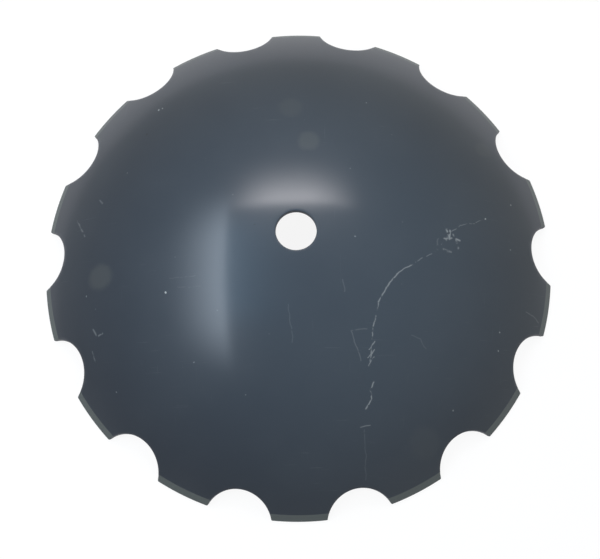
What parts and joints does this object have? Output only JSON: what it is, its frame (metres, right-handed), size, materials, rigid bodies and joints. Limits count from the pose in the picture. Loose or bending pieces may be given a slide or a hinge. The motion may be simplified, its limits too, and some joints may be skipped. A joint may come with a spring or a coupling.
{
  "type": "harrow disc blade",
  "caption": "Dished round plate with a notched, bevelled rim and a round centre bore, for a disc harrow gang.",
  "frame": {"origin": "on the disc axis, level with the lowest edge of the rim, which is the surface the blade lies on", "axes": "+Z along the disc axis towards the convex crown, one tooth centred on +Y"},
  "size_m": [0.6548, 0.6598, 0.1229],
  "materials": {
    "blade_paint": "dark blue-grey paint over pressed steel plate, half gloss, lightly scuffed and scratched"
  },
  "bodies": {
    "root": {"disc_blade": "blade_paint"}
  },
  "joints": []
}
